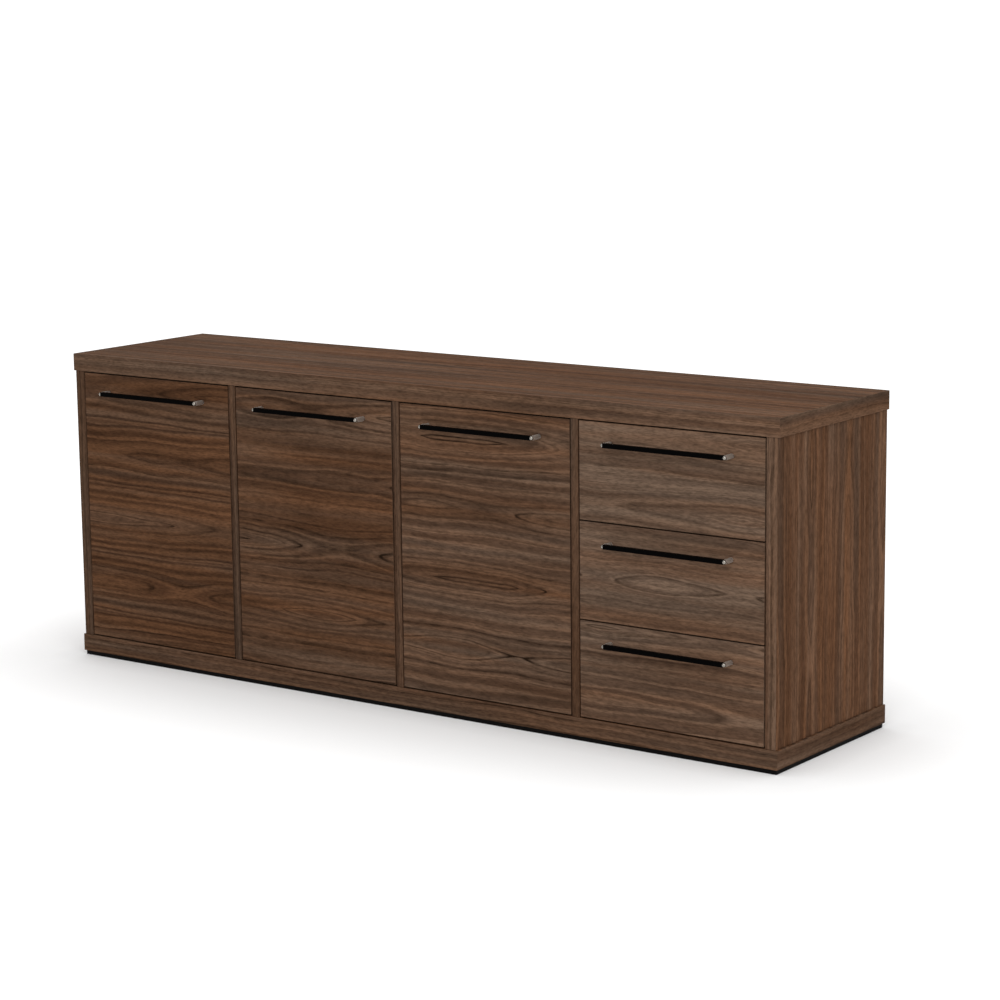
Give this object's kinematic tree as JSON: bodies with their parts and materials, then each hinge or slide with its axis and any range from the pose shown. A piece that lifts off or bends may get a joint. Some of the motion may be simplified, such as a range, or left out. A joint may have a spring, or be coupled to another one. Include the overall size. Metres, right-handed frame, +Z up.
{
  "type": "office credenza",
  "caption": "Low wide walnut credenza on a black plinth, with side-hung cupboard doors over shelves, a bank of drawers on runners, and black bar handles with chrome posts.",
  "frame": {"origin": "on the floor under the middle of the carcass, at the centre of the plinth board's underside", "axes": "+Z up, +X along the length to the viewer's right, -Y out of the front"},
  "size_m": [1.9, 0.48, 0.72],
  "materials": {
    "walnut": "dark walnut veneer, satin lacquer",
    "plinth": "black laminate, matte",
    "drawer_box": "pale foil-wrapped board",
    "handle": "gloss black bar on polished chrome posts",
    "hinge": "nickel plated steel",
    "runner": "zinc plated steel"
  },
  "bodies": {
    "carcass": {"top_panel": "walnut", "base_panel": "walnut", "left_side_panel": "walnut", "right_side_panel": "walnut", "partition_1": "walnut", "partition_2": "walnut", "partition_3": "walnut", "back_panel": "walnut", "plinth_board": "plinth", "shelf_1": "walnut", "shelf_2": "walnut", "shelf_3": "walnut", "door_1_lower_hinge_arm": "hinge", "door_1_upper_hinge_arm": "hinge", "door_2_lower_hinge_arm": "hinge", "door_2_upper_hinge_arm": "hinge", "door_3_lower_hinge_arm": "hinge", "door_3_upper_hinge_arm": "hinge", "drawer_1_left_runner": "runner", "drawer_1_right_runner": "runner", "drawer_2_left_runner": "runner", "drawer_2_right_runner": "runner", "drawer_3_left_runner": "runner", "drawer_3_right_runner": "runner"},
    "door_1": {"door_1": "walnut", "door_1_handle": "handle", "door_1_lower_hinge_cup": "hinge", "door_1_upper_hinge_cup": "hinge"},
    "door_2": {"door_2": "walnut", "door_2_handle": "handle", "door_2_lower_hinge_cup": "hinge", "door_2_upper_hinge_cup": "hinge"},
    "door_3": {"door_3": "walnut", "door_3_handle": "handle", "door_3_lower_hinge_cup": "hinge", "door_3_upper_hinge_cup": "hinge"},
    "drawer_1": {"drawer_1_front": "walnut", "drawer_1_left_side": "drawer_box", "drawer_1_right_side": "drawer_box", "drawer_1_back": "drawer_box", "drawer_1_bottom": "drawer_box", "drawer_1_handle": "handle", "drawer_1_left_slide": "runner", "drawer_1_right_slide": "runner"},
    "drawer_2": {"drawer_2_front": "walnut", "drawer_2_left_side": "drawer_box", "drawer_2_right_side": "drawer_box", "drawer_2_back": "drawer_box", "drawer_2_bottom": "drawer_box", "drawer_2_handle": "handle", "drawer_2_left_slide": "runner", "drawer_2_right_slide": "runner"},
    "drawer_3": {"drawer_3_front": "walnut", "drawer_3_left_side": "drawer_box", "drawer_3_right_side": "drawer_box", "drawer_3_back": "drawer_box", "drawer_3_bottom": "drawer_box", "drawer_3_handle": "handle", "drawer_3_left_slide": "runner", "drawer_3_right_slide": "runner"}
  },
  "joints": [
    {"name": "door_1_swing", "type": "hinge", "parent": "carcass", "child": "door_1", "pos_m": [-0.90272, -0.214, 0.365], "axis": [0, 0, -1], "range_deg": [0, 100]},
    {"name": "door_2_swing", "type": "hinge", "parent": "carcass", "child": "door_2", "pos_m": [-0.43822, -0.214, 0.365], "axis": [0, 0, -1], "range_deg": [0, 100]},
    {"name": "door_3_swing", "type": "hinge", "parent": "carcass", "child": "door_3", "pos_m": [0.02628, -0.214, 0.365], "axis": [0, 0, -1], "range_deg": [0, 100]},
    {"name": "drawer_1_slide", "type": "slide", "parent": "carcass", "child": "drawer_1", "axis": [0, -1, 0], "range_m": [0, 0.3]},
    {"name": "drawer_2_slide", "type": "slide", "parent": "carcass", "child": "drawer_2", "axis": [0, -1, 0], "range_m": [0, 0.3]},
    {"name": "drawer_3_slide", "type": "slide", "parent": "carcass", "child": "drawer_3", "axis": [0, -1, 0], "range_m": [0, 0.3]}
  ]
}
